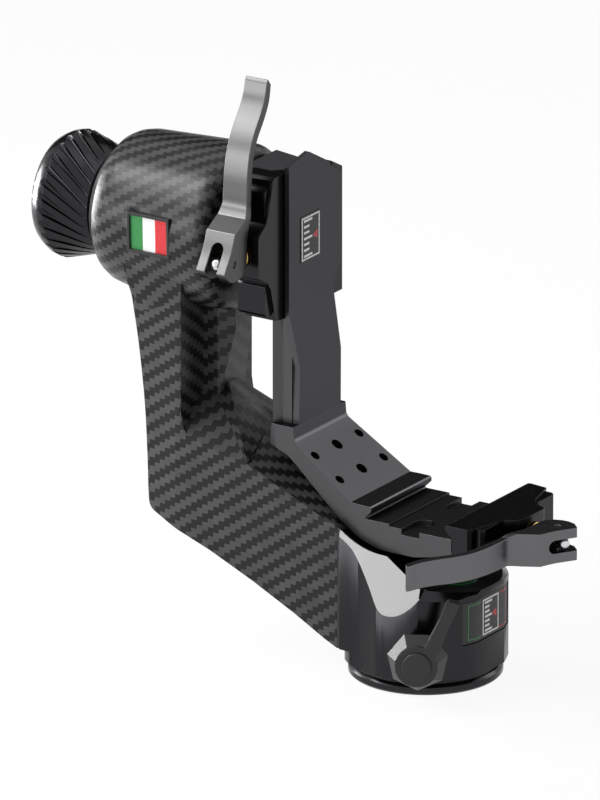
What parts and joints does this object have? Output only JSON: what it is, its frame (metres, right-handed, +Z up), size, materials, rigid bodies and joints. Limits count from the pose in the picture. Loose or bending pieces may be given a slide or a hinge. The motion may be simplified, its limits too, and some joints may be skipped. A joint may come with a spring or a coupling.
{
  "type": "gimbal tripod head",
  "caption": "Gimbal head for a tripod: a panning base, a carbon arm, a tilting clamp and a sliding L cradle with a dovetail lever clamp for a long lens.",
  "frame": {"origin": "centre of the tripod thread, on the face that rests on the tripod", "axes": "+Z up along the pan axis, +X along the tilt axis from the tilt knob towards the cradle, +Y along the lens towards the back of the picture"},
  "size_m": [0.2465, 0.1035, 0.251],
  "materials": {
    "anodised_black": "satin black anodised aluminium, with thin bright chamfers",
    "anodised_grey": "dark satin anodised aluminium",
    "lever_silver": "bright satin aluminium",
    "carbon_weave": "glossy twill carbon laminate",
    "deep_black": "matt black",
    "steel": "turned stainless steel",
    "bare_aluminium": "turned aluminium",
    "glide_plastic": "low friction plastic",
    "brass": "turned brass",
    "red_fibre": "red fibre washer",
    "level_green": "green plastic",
    "level_vial": "pale green vial",
    "flag_green": "green enamel",
    "flag_white": "white enamel",
    "flag_red": "red enamel"
  },
  "bodies": {
    "base": {"mounting_plate": "anodised_black", "thread_bush": "steel", "pan_spindle": "steel", "plate_screws": "steel", "spindle_nut": "steel", "glide_ring": "glide_plastic"},
    "pan": {"base_housing": "anodised_black", "pan_bearing_lower": "steel", "pan_bearing_upper": "steel", "level_ring": "level_green", "level_vial": "level_vial", "label_plate": "deep_black", "pan_brake_shoe": "brass", "carbon_arm": "carbon_weave", "arm_flange": "deep_black", "arm_studs": "steel", "bearing_sleeve": "bare_aluminium", "tilt_bearing_left": "steel", "tilt_bearing_right": "steel", "drum_end_ring": "deep_black", "badge_frame": "deep_black", "badge_stripe_green": "flag_green", "badge_stripe_white": "flag_white", "badge_stripe_red": "flag_red", "thrust_washer": "deep_black", "friction_disc": "glide_plastic"},
    "pan_knob": {"pan_knob_body": "anodised_black", "pan_knob_cap": "deep_black", "pan_lock_screw": "steel"},
    "tilt": {"tilt_shaft": "steel", "tilt_clamp_body": "anodised_black", "clamp_bolts": "steel", "tilt_guide_pins": "steel", "tilt_draw_bolt": "steel"},
    "tilt_knob": {"tilt_knob": "anodised_black", "tilt_knob_cap": "deep_black"},
    "tilt_lever": {"tilt_lever": "lever_silver", "tilt_lever_pin": "steel"},
    "tilt_jaw": {"tilt_jaw": "anodised_black", "tilt_cup_washer": "brass", "tilt_friction_washer": "red_fibre"},
    "cradle": {"cradle_upright": "anodised_black", "cradle_platform": "anodised_black", "cradle_screws": "steel", "cradle_emblem": "deep_black", "platform_guide_pins": "steel", "platform_draw_bolt": "steel"},
    "platform_lever": {"platform_lever": "anodised_grey", "platform_lever_pin": "steel"},
    "platform_jaw": {"platform_jaw": "anodised_black", "platform_cup_washer": "brass", "platform_friction_washer": "red_fibre"}
  },
  "joints": [
    {"name": "pan_turn", "type": "hinge", "parent": "base", "child": "pan", "pos_m": [0, 0, 0.0192], "axis": [0, 0, 1], "continuous": true},
    {"name": "pan_knob_turn", "type": "hinge", "parent": "pan", "child": "pan_knob", "pos_m": [0, 0, 0.0192], "axis": [0.4695, -0.8829, 0], "range_deg": [-45, 60]},
    {"name": "tilt_turn", "type": "hinge", "parent": "pan", "child": "tilt", "pos_m": [-0.1, 0, 0.1759], "axis": [-1, 0, 0], "range_deg": [-90, 90]},
    {"name": "tilt_knob_turn", "type": "hinge", "parent": "tilt", "child": "tilt_knob", "pos_m": [-0.165, 0, 0.1759], "axis": [1, 0, 0], "range_deg": [-180, 180]},
    {"name": "tilt_lever_turn", "type": "hinge", "parent": "tilt", "child": "tilt_lever", "pos_m": [-0.0675, -0.0505, 0.179], "axis": [1, 0, 0], "range_deg": [0, 100]},
    {"name": "tilt_jaw_slide", "type": "slide", "parent": "tilt", "child": "tilt_jaw", "axis": [0, -1, 0], "range_m": [0, 0.0015]},
    {"name": "cradle_slide", "type": "slide", "parent": "tilt", "child": "cradle", "axis": [0, 0, 1], "range_m": [0, 0.03]},
    {"name": "platform_lever_turn", "type": "hinge", "parent": "cradle", "child": "platform_lever", "pos_m": [0.06, 0.006, 0.0654], "axis": [0, 0, 1], "range_deg": [0, 100]},
    {"name": "platform_jaw_slide", "type": "slide", "parent": "cradle", "child": "platform_jaw", "axis": [1, 0, 0], "range_m": [0, 0.0015]}
  ],
  "couplings": [
    {"joint": "tilt_lever_turn", "follows": "tilt_jaw_slide", "rad_per_m": 1163.5},
    {"joint": "platform_lever_turn", "follows": "platform_jaw_slide", "rad_per_m": 1163.5}
  ]
}
